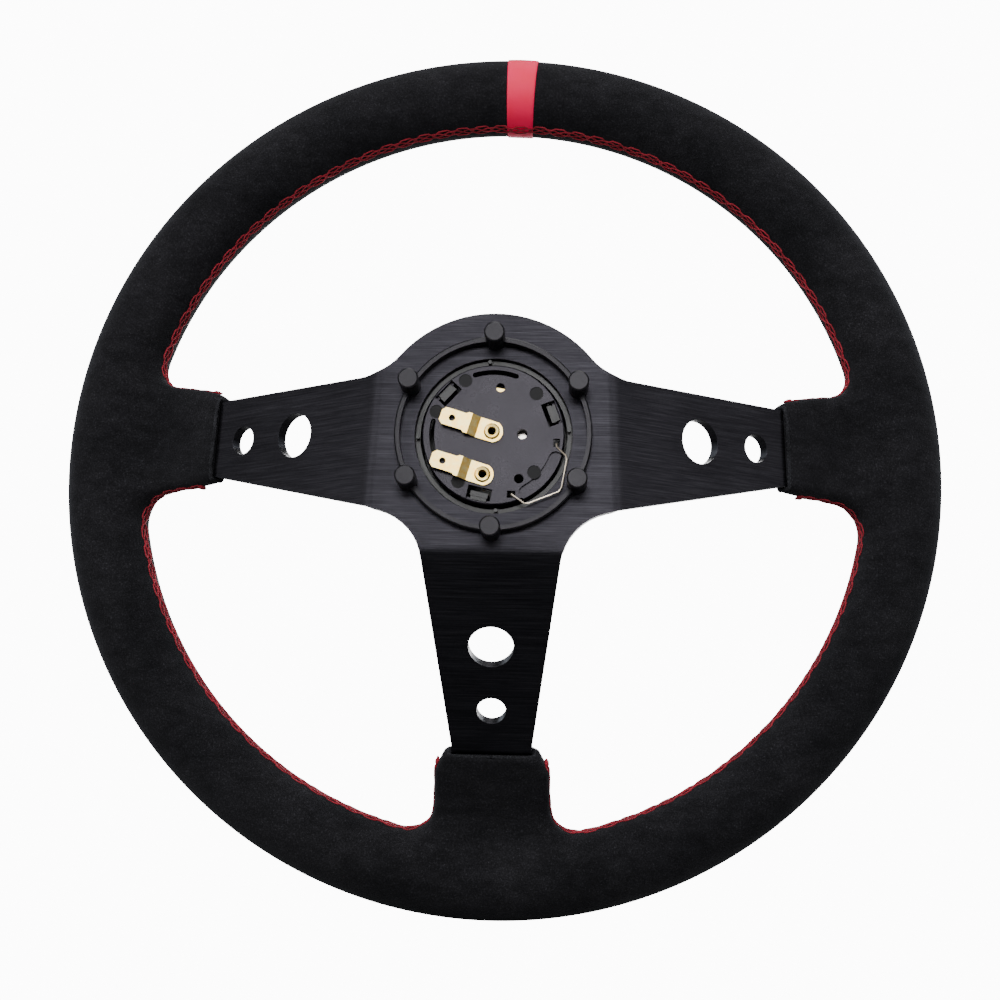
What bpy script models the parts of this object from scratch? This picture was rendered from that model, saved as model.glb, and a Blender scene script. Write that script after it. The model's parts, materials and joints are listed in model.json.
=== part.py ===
"""Deep-dish three-spoke steering wheel with a horn button, as separate pieces.

Every piece is modelled in the wheel's own frame: X to the right as seen from the column,
Y towards twelve o'clock, Z out of the hub's rear face along the steering column. The empty
wheel_axis then stands the wheel up, so that the column side faces world -Y.
"""

import math

import bmesh
import bpy
from mathutils import Matrix, Vector

MM = 0.001

# Rim
RIM_RADIUS = 175.0 * MM
GRIP_HALF_WIDTH = 15.5 * MM
GRIP_HALF_DEPTH = 15.0 * MM
RIM_CENTRE_RADIUS = RIM_RADIUS - GRIP_HALF_WIDTH
HUB_TO_RIM = 75.0 * MM
SUEDE = 1.2 * MM
FOAM_CLEARANCE = 0.7 * MM
HOOP_RADIUS = 5.5 * MM
STRIPE_ANGLE = 88.4
STRIPE_WIDTH = 11.6 * MM
SEAM_DIRECTION = 172.0
SEAM_GAP = 3.0
RIM_STEPS = 48

# Spoke frame
HUB_RADIUS = 45.5 * MM
PLATE = 4.0 * MM
CENTRE_HOLE_RADIUS = 28.5 * MM
BOLT_CIRCLE_RADIUS = 35.0 * MM
BOLT_HOLE_RADIUS = 2.75 * MM
BOLT_ANGLES = [90 + 60 * k for k in range(6)]
SPOKE_SLOPE = math.radians(35.5)
BEND_AT = 44.0 * MM
BEND_RADIUS = 8.0 * MM
BEND_CUTS = 3
SIDE_SPOKE_RISE = math.radians(2.8)
SPOKE_ROOT_HALF = 25.2 * MM
SPOKE_END_HALF = 15.2 * MM
SIDE_UPPER_ROOT_HALF = 19.7 * MM
SIDE_UPPER_END_HALF = 16.3 * MM
SIDE_LOWER_ROOT_HALF = 28.7 * MM
SIDE_LOWER_END_HALF = 13.6 * MM
TAPER_LENGTH = 80.0 * MM
SPOKE_TIP = 143.0 * MM
WEB_FILLET = 21.0 * MM
HUB_FILLET = 20.0 * MM
TIP_FILLET = 3.0 * MM
LARGE_HOLE_AT = 39.2 * MM
LARGE_HOLE_RADIUS = 8.4 * MM
SMALL_HOLE_AT = 66.6 * MM
SMALL_HOLE_RADIUS = 5.5 * MM
LOWER_HOLE_SHIFT = -2.0 * MM
RIVET_ACROSS = 8.0 * MM
RIVET_RADIUS = 2.4 * MM
RIVET_HEAD_RADIUS = 3.8 * MM
SLEEVE_START = 80.7 * MM
SLEEVE_COVER = 2.4 * MM

# Horn unit
BEZEL_RADIUS = 42.0 * MM
BEZEL_THICKNESS = 4.0 * MM
BEZEL_BORE = 26.6 * MM
SPIGOT_RADIUS = 28.1 * MM
SCREW_RADIUS = 2.4 * MM
SCREW_END = 11.5 * MM
SCREW_HEAD_RADIUS = 4.75 * MM
SCREW_HEAD_HEIGHT = 2.75 * MM
SOCKET_RADIUS = 1.75 * MM
BASE_RADIUS = 25.6 * MM
BASE_WALL_INNER = 24.0 * MM
BASE_REAR = 2.0 * MM
BASE_DISC = 2.4 * MM
LATCH_ANGLES = (138.0, 21.0, -102.0)
LATCH_LEDGE = 0.5 * MM
EJECTOR_MARKS = [(-10.5, 19.7), (15.2, 15.3), (-20.7, 8.1), (14.9, -13.5), (-12.2, -17.4)]
CAP_RADIUS = 29.4 * MM
CAP_SKIRT = -10.1 * MM
CAP_FRONT = -19.6 * MM
CAP_WALL = 2.0 * MM
HORN_TRAVEL = 1.5 * MM
CONTACT_THICKNESS = 0.6 * MM
CONTACT_FACE = BASE_REAR - BASE_DISC - CONTACT_THICKNESS - 0.3 * MM
TERMINAL_ANGLE = -16.5
TERMINAL_THICKNESS = 0.8 * MM
TERMINAL_EYES = {"upper": (-0.5 * MM, 0.9 * MM), "lower": (-3.5 * MM, -14.8 * MM)}
TAB_HOLE_RADIUS = 1.2 * MM
EYELET_SHANK = 2.0 * MM
EYELET_FLANGE = 2.9 * MM
EYELET_BORE = 1.55 * MM
SPRING_RADIUS = 6.0 * MM
SPRING_WIRE = 0.4 * MM
SPRING_TURNS = 4
WIRE_RADIUS = 0.35 * MM

# Bolt cap ring
RIB_RADIUS = 34.6 * MM
RIB_WIDTH = 1.9 * MM
RIB_TOP = 5.0 * MM
BOLT_CAP_RADIUS = 3.7 * MM
BOLT_CAP_TOP = 14.0 * MM

GAP = 0.3 * MM
TAU = 2 * math.pi


def clear_scene():
    for item in list(bpy.data.objects):
        bpy.data.objects.remove(item, do_unlink=True)


def new_collection(name, hidden=False):
    made = bpy.data.collections.new(name)
    made.hide_render = hidden
    bpy.context.scene.collection.children.link(made)
    return made


clear_scene()
PARTS = new_collection("steering_wheel")
CUTTERS = new_collection("cutters", hidden=True)
AXIS = bpy.data.objects.new("wheel_axis", None)
AXIS.rotation_euler = (math.pi / 2, 0, 0)
PARTS.objects.link(AXIS)


def material(name, colour, metallic, roughness):
    made = bpy.data.materials.new(name)
    made.use_nodes = True
    shader = made.node_tree.nodes["Principled BSDF"]
    shader.inputs["Base Color"].default_value = (*colour, 1)
    shader.inputs["Metallic"].default_value = metallic
    shader.inputs["Roughness"].default_value = roughness
    return made


SUEDE_BLACK = material("suede_black", (0.012, 0.012, 0.013), 0, 0.95)
LEATHER_RED = material("leather_red", (0.62, 0.02, 0.03), 0, 0.5)
FOAM_GREY = material("foam_grey", (0.08, 0.08, 0.08), 0, 0.9)
ALUMINIUM_BLACK = material("aluminium_black", (0.03, 0.03, 0.035), 0.8, 0.4)
ALUMINIUM_RAW = material("aluminium_raw", (0.7, 0.7, 0.7), 1, 0.4)
PLASTIC_BLACK = material("plastic_black", (0.02, 0.02, 0.022), 0, 0.5)
PLASTIC_GREY = material("plastic_grey", (0.06, 0.06, 0.07), 0, 0.45)
STEEL_BLACK = material("steel_black", (0.03, 0.03, 0.03), 0.9, 0.4)
STEEL_BRIGHT = material("steel_bright", (0.75, 0.72, 0.68), 1, 0.25)
BRASS = material("brass", (0.85, 0.62, 0.28), 1, 0.25)


def place(item, collection, surface=None):
    """Puts an object in the wheel's frame, and a cutter out of the render."""
    collection.objects.link(item)
    item.parent = AXIS
    if surface:
        item.data.materials.append(surface)
    if collection is CUTTERS:
        item.hide_render = True
        item.display_type = "WIRE"
    return item


def mesh_object(name, mesh, surface=None, collection=PARTS):
    return place(bpy.data.objects.new(name, mesh), collection, surface)


def round_off(item):
    for face in item.data.polygons:
        face.use_smooth = True
    item.data.set_sharp_from_angle(angle=math.radians(35))


def plate(name, loops, low, high, surface=None, collection=PARTS):
    """A flat piece from closed outlines, the first one outside, between two heights."""
    curve = bpy.data.curves.new(name, "CURVE")
    curve.dimensions = "2D"
    curve.fill_mode = "BOTH"
    curve.extrude = (high - low) / 2
    for loop in loops:
        spline = curve.splines.new("POLY")
        spline.points.add(len(loop) - 1)
        for point, (x, y) in zip(spline.points, loop):
            point.co = (x, y, 0, 1)
        spline.use_cyclic_u = True
    outline = bpy.data.objects.new(name + "_outline", curve)
    bpy.context.scene.collection.objects.link(outline)
    graph = bpy.context.evaluated_depsgraph_get()
    mesh = bpy.data.meshes.new_from_object(outline.evaluated_get(graph))
    bpy.data.objects.remove(outline)
    shape = bmesh.new()
    shape.from_mesh(mesh)
    bmesh.ops.remove_doubles(shape, verts=shape.verts, dist=1e-6)
    bmesh.ops.translate(shape, verts=shape.verts, vec=(0, 0, (high + low) / 2))
    bmesh.ops.recalc_face_normals(shape, faces=shape.faces)
    shape.to_mesh(mesh)
    shape.free()
    return mesh_object(name, mesh, surface, collection)


def turned(name, profile, surface=None, collection=PARTS, steps=48, closed=False):
    """A shape of revolution about Z. The profile, of (radius, height), runs down its outer side."""
    mesh = bpy.data.meshes.new(name)
    shape = bmesh.new()
    points = [shape.verts.new((radius, 0, height)) for radius, height in profile]
    for first, second in zip(points, points[1:]):
        shape.edges.new((first, second))
    if closed:
        shape.edges.new((points[-1], points[0]))
    shape.to_mesh(mesh)
    shape.free()
    item = mesh_object(name, mesh, surface, collection)
    screw = item.modifiers.new("turn", "SCREW")
    screw.steps = steps
    screw.render_steps = steps
    screw.use_merge_vertices = True
    screw.merge_threshold = 1e-6
    screw.use_smooth_shade = True
    return item


def box(name, low, high, collection=CUTTERS, surface=None):
    shape = bmesh.new()
    bmesh.ops.create_cube(shape, size=1)
    size = Vector(high) - Vector(low)
    middle = (Vector(high) + Vector(low)) / 2
    bmesh.ops.transform(
        shape, verts=shape.verts, matrix=Matrix.Translation(middle) @ Matrix.Diagonal((*size, 1))
    )
    mesh = bpy.data.meshes.new(name)
    shape.to_mesh(mesh)
    shape.free()
    return mesh_object(name, mesh, surface, collection)


def cylinder(name, centre, radius, low, high, collection=CUTTERS, steps=24, surface=None):
    shape = bmesh.new()
    bmesh.ops.create_cone(
        shape,
        cap_ends=True,
        segments=steps,
        radius1=radius,
        radius2=radius,
        depth=high - low,
        matrix=Matrix.Translation((centre[0], centre[1], (low + high) / 2)),
    )
    mesh = bpy.data.meshes.new(name)
    shape.to_mesh(mesh)
    shape.free()
    return mesh_object(name, mesh, surface, collection)


def combine(item, other, operation):
    """Cuts, joins or intersects. The other object stays in the scene as a cutter."""
    modifier = item.modifiers.new(other.name, "BOOLEAN")
    modifier.operation = operation
    modifier.object = other
    return item


def circle(centre, radius, steps=24):
    angles = [TAU * k / steps for k in range(steps)]
    return [(centre[0] + radius * math.cos(a), centre[1] + radius * math.sin(a)) for a in angles]


def arc(centre, start, end, count):
    """Points from start to end about centre, the short way round."""
    first = start - centre
    turn = first.angle_signed(end - centre)
    points = []
    for k in range(count + 1):
        swing = -turn * k / count
        points.append(centre + Matrix.Rotation(swing, 2) @ first)
    return points


def rounded(corners, count=8):
    """Replaces each (point, radius) corner of an open run by an arc. Its ends stay as they are."""
    points = [corners[0][0]]
    for (before, _), (corner, radius), (after, _) in zip(corners, corners[1:], corners[2:]):
        if radius == 0:
            points.append(corner)
            continue
        to_before = (before - corner).normalized()
        to_after = (after - corner).normalized()
        half = to_before.angle(to_after) / 2
        reach = radius / math.tan(half)
        centre = corner + (to_before + to_after).normalized() * radius / math.sin(half)
        points += arc(centre, corner + to_before * reach, corner + to_after * reach, count)
    return points + [corners[-1][0]]


def polar(radius, degrees):
    angle = math.radians(degrees)
    return Vector((radius * math.cos(angle), radius * math.sin(angle)))


# The spokes: each has a direction in the hub's plane, and lengths along it in the flat blank
SPOKES = {
    "right": SIDE_SPOKE_RISE,
    "left": math.pi - SIDE_SPOKE_RISE,
    "lower": -math.pi / 2,
}
# How far each spoke's straight end reaches across its direction, clockwise and anticlockwise
SPOKE_SIDES = {
    "right": (SIDE_LOWER_END_HALF, SIDE_UPPER_END_HALF),
    "left": (SIDE_UPPER_END_HALF, SIDE_LOWER_END_HALF),
    "lower": (SPOKE_END_HALF, SPOKE_END_HALF),
}
BEND_START = BEND_AT - BEND_RADIUS * math.tan(SPOKE_SLOPE / 2)
BEND_END = BEND_START + BEND_RADIUS * SPOKE_SLOPE
BLANK_OFFSET = BEND_END - BEND_RADIUS * math.tan(SPOKE_SLOPE / 2)
RIM_ALONG = (RIM_CENTRE_RADIUS - BEND_AT) * math.cos(SPOKE_SLOPE) + HUB_TO_RIM * math.sin(SPOKE_SLOPE)
RIM_ABOVE = (RIM_CENTRE_RADIUS - BEND_AT) * math.sin(SPOKE_SLOPE) - HUB_TO_RIM * math.cos(SPOKE_SLOPE)


def on_blank(direction, along, across):
    """A point of the flat blank, from its distance along a spoke past the bend and across it."""
    forward = Vector((math.cos(direction), math.sin(direction)))
    sideways = Vector((-forward.y, forward.x))
    return forward * (along + BLANK_OFFSET) + sideways * across


def slope_frame(direction):
    """From a spoke's own axes (along the slope, across, out of its rear face) to the wheel's."""
    turn = Matrix.Rotation(direction, 4, "Z")
    bend = Matrix.Translation((BEND_AT, 0, 0)) @ Matrix.Rotation(SPOKE_SLOPE, 4, "Y")
    return turn @ bend


def line_meet(a, b, c, d):
    """Where the line through a and b meets the line through c and d."""
    first = b - a
    second = d - c
    share = (c - a).cross(second) / first.cross(second)
    return a + first * share


def right_half_outline():
    lower = SPOKES["lower"]
    right = SPOKES["right"]
    lower_root = on_blank(lower, 0, SPOKE_ROOT_HALF)
    lower_neck = on_blank(lower, TAPER_LENGTH, SPOKE_END_HALF)
    under_root = on_blank(right, 0, -SIDE_LOWER_ROOT_HALF)
    under_neck = on_blank(right, TAPER_LENGTH, -SIDE_LOWER_END_HALF)
    over_root = on_blank(right, 0, SIDE_UPPER_ROOT_HALF)
    over_neck = on_blank(right, TAPER_LENGTH, SIDE_UPPER_END_HALF)
    web = line_meet(lower_root, lower_neck, under_root, under_neck)
    outward = (over_neck - over_root).normalized()
    upward = Vector((-outward.y, outward.x))
    start = over_root + upward * HUB_FILLET
    reach = HUB_RADIUS + HUB_FILLET
    middle = start.dot(outward)
    slide = -middle + math.sqrt(middle**2 - start.length_squared + reach**2)
    fillet = start + outward * slide
    on_line = fillet - upward * HUB_FILLET
    on_hub = fillet * HUB_RADIUS / reach
    corners = [
        (on_blank(lower, SPOKE_TIP, 0), 0),
        (on_blank(lower, SPOKE_TIP, SPOKE_END_HALF), TIP_FILLET),
        (lower_neck, 0),
        (web, WEB_FILLET),
        (under_neck, 0),
        (on_blank(right, SPOKE_TIP, -SIDE_LOWER_END_HALF), TIP_FILLET),
        (on_blank(right, SPOKE_TIP, SIDE_UPPER_END_HALF), TIP_FILLET),
        (over_neck, 0),
        (on_line, 0),
    ]
    points = rounded(corners)[:-1] + arc(fillet, on_line, on_hub, 8)
    return points + arc(Vector((0, 0)), on_hub, Vector((0, HUB_RADIUS)), 10)[1:]


def fold(item):
    """Bends every spoke down from the hub's plane, away from the column."""
    shape = bmesh.new()
    shape.from_mesh(item.data)
    for direction in SPOKES.values():
        forward = Vector((math.cos(direction), math.sin(direction), 0))
        for k in range(BEND_CUTS + 1):
            station = BEND_START + (BEND_END - BEND_START) * k / BEND_CUTS
            bmesh.ops.bisect_plane(
                shape,
                geom=shape.verts[:] + shape.edges[:] + shape.faces[:],
                plane_co=forward * station,
                plane_no=forward,
                dist=1e-7,
            )
        for vertex in shape.verts:
            along = vertex.co.dot(forward)
            if along <= BEND_START:
                continue
            angle = min((along - BEND_START) / BEND_RADIUS, SPOKE_SLOPE)
            straight = max(along - BEND_END, 0)
            level = BEND_RADIUS + vertex.co.z
            reach = BEND_START + level * math.sin(angle) + straight * math.cos(SPOKE_SLOPE)
            height = level * math.cos(angle) - BEND_RADIUS - straight * math.sin(SPOKE_SLOPE)
            vertex.co += forward * (reach - along)
            vertex.co.z = height
    bmesh.ops.dissolve_limit(
        shape, angle_limit=0.001, verts=shape.verts, edges=shape.edges, delimit=set()
    )
    bmesh.ops.triangulate(shape, faces=shape.faces)
    shape.to_mesh(item.data)
    shape.free()


def make_spoke_frame():
    half = right_half_outline()
    other_half = [Vector((-p.x, p.y)) for p in reversed(half[1:-1])]
    loops = [half + other_half, circle((0, 0), CENTRE_HOLE_RADIUS, 48)]
    loops += [circle(polar(BOLT_CIRCLE_RADIUS, a), BOLT_HOLE_RADIUS, 16) for a in BOLT_ANGLES]
    for name, direction in SPOKES.items():
        shift = LOWER_HOLE_SHIFT if name == "lower" else 0
        loops.append(circle(on_blank(direction, LARGE_HOLE_AT + shift, 0), LARGE_HOLE_RADIUS, 32))
        loops.append(circle(on_blank(direction, SMALL_HOLE_AT + shift, 0), SMALL_HOLE_RADIUS, 24))
        for side in (-1, 1):
            centre = on_blank(direction, RIM_ALONG, side * RIVET_ACROSS)
            loops.append(circle(centre, RIVET_RADIUS + GAP, 12))
    frame = plate("spoke_frame", loops, -PLATE, 0, ALUMINIUM_BLACK)
    fold(frame)
    round_off(frame)


def rim_section(half_width, half_depth, count):
    """An ellipse in the rim's section, running down its outer side first."""
    points = []
    for k in range(count):
        angle = math.pi / 2 - TAU * (k + 0.5) / count
        radius = RIM_CENTRE_RADIUS + half_width * math.cos(angle)
        points.append((radius, half_depth * math.sin(angle) - HUB_TO_RIM))
    return points


def make_rim_core():
    hoop = turned(
        "rim_hoop", rim_section(HOOP_RADIUS, HOOP_RADIUS, 10), ALUMINIUM_RAW, steps=RIM_STEPS, closed=True
    )
    void_radius = HOOP_RADIUS + GAP
    void = turned(
        "hoop_void", rim_section(void_radius, void_radius, 10), collection=CUTTERS, steps=RIM_STEPS, closed=True
    )
    shrink = SUEDE + FOAM_CLEARANCE
    section = rim_section(GRIP_HALF_WIDTH - shrink, GRIP_HALF_DEPTH - shrink, 16)
    foam = turned("rim_foam", section, FOAM_GREY, steps=RIM_STEPS, closed=True)
    combine(foam, void, "DIFFERENCE")
    rivet_low = -PLATE - GAP
    rivet_high = RIM_ABOVE + HOOP_RADIUS + GAP
    head = 1.2 * MM
    front_head = 1.0 * MM
    for name, direction in SPOKES.items():
        frame = slope_frame(direction)
        pocket = box(
            f"{name}_rivet_pocket",
            (RIM_ALONG - 4.6 * MM, -12.6 * MM, rivet_low - front_head - GAP),
            (RIM_ALONG + 4.6 * MM, 12.6 * MM, rivet_high + head + GAP),
        )
        pocket.matrix_local = frame
        combine(foam, pocket, "DIFFERENCE")
        combine(foam, SLOTS[name], "DIFFERENCE")
        for side in (-1, 1):
            hole = cylinder(
                f"{name}_rivet_hole_{side}", (0, 0), RIVET_RADIUS + GAP, -0.01, 0.02, steps=12
            )
            axis = frame @ Matrix.Translation((RIM_ALONG, side * RIVET_ACROSS, 0))
            hole.matrix_local = axis
            combine(hoop, hole, "DIFFERENCE")
            rivet = turned(
                f"{name}_spoke_rivet_{'b' if side > 0 else 'a'}",
                [
                    (0, rivet_high + head),
                    (RIVET_HEAD_RADIUS * 0.7, rivet_high + head * 0.8),
                    (RIVET_HEAD_RADIUS, rivet_high + head * 0.2),
                    (RIVET_HEAD_RADIUS, rivet_high),
                    (RIVET_RADIUS, rivet_high),
                    (RIVET_RADIUS, rivet_low),
                    (RIVET_HEAD_RADIUS, rivet_low),
                    (RIVET_HEAD_RADIUS, rivet_low - front_head * 0.6),
                    (RIVET_HEAD_RADIUS * 0.8, rivet_low - front_head),
                    (0, rivet_low - front_head),
                ],
                ALUMINIUM_RAW,
                steps=12,
            )
            rivet.matrix_local = axis


def make_slot_cutters():
    """Room in the foam, the cover and the sleeves for each spoke's flat end."""
    slots = {}
    for name, direction in SPOKES.items():
        clockwise, anticlockwise = SPOKE_SIDES[name]
        slots[name] = box(
            f"{name}_spoke_slot",
            (SLEEVE_START - 5 * MM, -clockwise - GAP, -PLATE - GAP),
            (SPOKE_TIP + GAP, anticlockwise + GAP, GAP),
        )
        slots[name].matrix_local = slope_frame(direction)
    return slots


def cover_section(proud=0.0):
    """A C-shaped section round the foam, open at the seam on its inner rear side."""
    open_from = math.radians(SEAM_DIRECTION - SEAM_GAP)
    sweep = TAU - math.radians(2 * SEAM_GAP)
    count = 14
    outside = []
    inside = []
    for k in range(count + 1):
        angle = open_from - sweep * k / count
        direction = (math.cos(angle), math.sin(angle))
        outer = (GRIP_HALF_WIDTH + proud, GRIP_HALF_DEPTH + proud)
        inner = (outer[0] - SUEDE, outer[1] - SUEDE)
        outside.append((RIM_CENTRE_RADIUS + outer[0] * direction[0], outer[1] * direction[1] - HUB_TO_RIM))
        inside.append((RIM_CENTRE_RADIUS + inner[0] * direction[0], inner[1] * direction[1] - HUB_TO_RIM))
    return outside + inside[::-1]


def cover_panel(name, start, end, surface, steps, slots=()):
    """A stretch of the cover between two angles in degrees, swept section by section."""
    section = cover_section()
    mesh = bpy.data.meshes.new(name)
    shape = bmesh.new()
    rings = []
    for k in range(steps + 1):
        turn = Matrix.Rotation(math.radians(start + (end - start) * k / steps), 3, "Z")
        rings.append([shape.verts.new(turn @ Vector((radius, 0, height))) for radius, height in section])
    for ring, following in zip(rings, rings[1:]):
        for k in range(len(section)):
            shape.faces.new((ring[k - 1], ring[k], following[k], following[k - 1]))
    half = len(section) // 2
    for ring in (rings[0], rings[-1]):
        for k in range(half - 1):
            shape.faces.new((ring[k], ring[k + 1], ring[-k - 2], ring[-k - 1]))
    bmesh.ops.recalc_face_normals(shape, faces=shape.faces)
    shape.to_mesh(mesh)
    shape.free()
    panel = mesh_object(name, mesh, surface)
    for slot in slots:
        combine(panel, SLOTS[slot], "DIFFERENCE")
    return panel


def make_cover():
    edge = math.degrees(GAP / 2 / RIM_CENTRE_RADIUS)
    half_stripe = math.degrees(STRIPE_WIDTH / 2 / RIM_CENTRE_RADIUS)
    right = math.degrees(SPOKES["right"])
    left = math.degrees(SPOKES["left"])
    stripe_from = STRIPE_ANGLE - half_stripe
    stripe_to = STRIPE_ANGLE + half_stripe
    cover_panel("upper_right_cover", right + edge, stripe_from - edge, SUEDE_BLACK, 14, ["right"])
    cover_panel("upper_left_cover", stripe_to + edge, left - edge, SUEDE_BLACK, 14, ["left"])
    cover_panel("lower_left_cover", left + edge, 270 - edge, SUEDE_BLACK, 15, ["left", "lower"])
    cover_panel("lower_right_cover", 270 + edge, 360 + right - edge, SUEDE_BLACK, 15, ["lower", "right"])
    cover_panel("centre_stripe", stripe_from + edge, stripe_to - edge, LEATHER_RED, 2)


def make_sleeves():
    """The padded suede round the outer end of each spoke, up to the rim."""
    outer = rim_section(GRIP_HALF_WIDTH + GAP, GRIP_HALF_DEPTH + GAP, 24)
    rim = turned("rim_outside", outer, collection=CUTTERS, steps=RIM_STEPS, closed=True)
    widening = [
        (SLEEVE_START, 2.0 * MM),
        (88.0 * MM, 4.0 * MM),
        (104.0 * MM, 6.8 * MM),
        (114.0 * MM, 9.8 * MM),
        (119.0 * MM, 15.8 * MM),
        (121.0 * MM, 22.8 * MM),
        (134.0 * MM, 22.8 * MM),
    ]
    for name, direction in SPOKES.items():
        clockwise, anticlockwise = SPOKE_SIDES[name]
        outline = [(along, -clockwise - more) for along, more in widening]
        outline += [(along, anticlockwise + more) for along, more in reversed(widening)]
        sleeve = plate(
            f"{name}_spoke_sleeve", [outline], -PLATE - SLEEVE_COVER, SLEEVE_COVER, SUEDE_BLACK
        )
        sleeve.matrix_local = slope_frame(direction)
        combine(sleeve, SLOTS[name], "DIFFERENCE")
        combine(sleeve, rim, "DIFFERENCE")


def make_bezel():
    """The front trim ring: a flange on the hub's front face and a spigot through its centre."""
    rear = -PLATE - GAP
    front = rear - BEZEL_THICKNESS
    spigot_top = -2.6 * MM
    profile = [
        (BEZEL_BORE, spigot_top),
        (SPIGOT_RADIUS, spigot_top),
        (SPIGOT_RADIUS, rear),
        (BEZEL_RADIUS, rear),
        (BEZEL_RADIUS, front + 1.2 * MM),
        (BEZEL_RADIUS - 1.2 * MM, front),
        (BEZEL_BORE, front),
    ]
    bezel = turned("horn_bezel", profile, PLASTIC_BLACK, closed=True)
    for k, angle in enumerate((94, 5, -87, -178)):
        nub = cylinder(
            f"bezel_nub_{k}", polar(27.3 * MM, angle), 0.7 * MM, spigot_top - 1 * MM, 0.2 * MM, steps=10
        )
        combine(bezel, nub, "UNION")
    for k, angle in enumerate(BOLT_ANGLES):
        hole = cylinder(
            f"bezel_hole_{k}",
            polar(BOLT_CIRCLE_RADIUS, angle),
            BOLT_HOLE_RADIUS,
            front - 1 * MM,
            rear + 1 * MM,
            steps=16,
        )
        combine(bezel, hole, "DIFFERENCE")
    return front


def make_screws(seat):
    """Six button-head screws through the bezel and the hub, head on the driver's side."""
    under_head = seat - GAP
    top = under_head - SCREW_HEAD_HEIGHT
    profile = [
        (0, SCREW_END),
        (SCREW_RADIUS - 0.4 * MM, SCREW_END),
        (SCREW_RADIUS, SCREW_END - 0.4 * MM),
        (SCREW_RADIUS, under_head),
        (SCREW_HEAD_RADIUS, under_head),
        (SCREW_HEAD_RADIUS, under_head - 0.6 * MM),
        (SCREW_HEAD_RADIUS * 0.8, top + 0.6 * MM),
        (SCREW_HEAD_RADIUS * 0.5, top),
        (0, top),
    ]
    for k, angle in enumerate(BOLT_ANGLES):
        centre = polar(BOLT_CIRCLE_RADIUS, angle)
        screw = turned(f"hub_screw_{k + 1}", profile, STEEL_BLACK, steps=16)
        screw.location = (centre.x, centre.y, 0)
        socket = cylinder(
            f"screw_socket_{k + 1}", centre, SOCKET_RADIUS, top - 1 * MM, top + 1.8 * MM, steps=6
        )
        combine(screw, socket, "DIFFERENCE")


def make_bolt_cap_ring():
    """A soft ring with six blind caps, pushed over the screws' ends behind the hub."""
    half = RIB_WIDTH / 2
    base = GAP
    ring = turned(
        "bolt_cap_ring",
        [
            (RIB_RADIUS - half, RIB_TOP),
            (RIB_RADIUS + half * 0.5, RIB_TOP),
            (RIB_RADIUS + half, RIB_TOP - 0.5 * MM),
            (RIB_RADIUS + half, base + 0.2 * MM),
            (RIB_RADIUS - half, base + 0.2 * MM),
        ],
        PLASTIC_BLACK,
        closed=True,
        steps=60,
    )
    for k, angle in enumerate(BOLT_ANGLES):
        centre = polar(BOLT_CIRCLE_RADIUS, angle)
        cap = turned(
            f"bolt_cap_{k}",
            [
                (0, BOLT_CAP_TOP),
                (BOLT_CAP_RADIUS - 0.5 * MM, BOLT_CAP_TOP),
                (BOLT_CAP_RADIUS, BOLT_CAP_TOP - 0.5 * MM),
                (BOLT_CAP_RADIUS - 0.15 * MM, base),
                (0, base),
            ],
            collection=CUTTERS,
            steps=20,
        )
        cap.location = (centre.x, centre.y, 0)
        combine(ring, cap, "UNION")
    for k, angle in enumerate(BOLT_ANGLES):
        centre = polar(BOLT_CIRCLE_RADIUS, angle)
        hole = cylinder(
            f"cap_hole_{k}", centre, SCREW_RADIUS + GAP, -1 * MM, SCREW_END + GAP, steps=12
        )
        combine(ring, hole, "DIFFERENCE")


def arc_slot(name, radius, width, start, end, low, high):
    """A curved slot with round ends, as a cutter."""
    half = width / 2
    angles = [start + (end - start) * k / 6 for k in range(7)]
    outer = [polar(radius + half, a) for a in angles]
    inner = [polar(radius - half, a) for a in reversed(angles)]
    far = [polar(radius, end) + polar(half, end + a) for a in (36, 72, 108, 144)]
    near = [polar(radius, start) - polar(half, start + a) for a in (36, 72, 108, 144)]
    return plate(name, [outer + far + inner + near], low, high, collection=CUTTERS)


def latch_box(name, angle, inner, outer, half_width, low, high, collection=CUTTERS):
    """A box set square to the radius at an angle in degrees."""
    item = box(name, (inner, -half_width, low), (outer, half_width, high), collection)
    item.rotation_euler = (0, 0, math.radians(angle))
    return item


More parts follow.
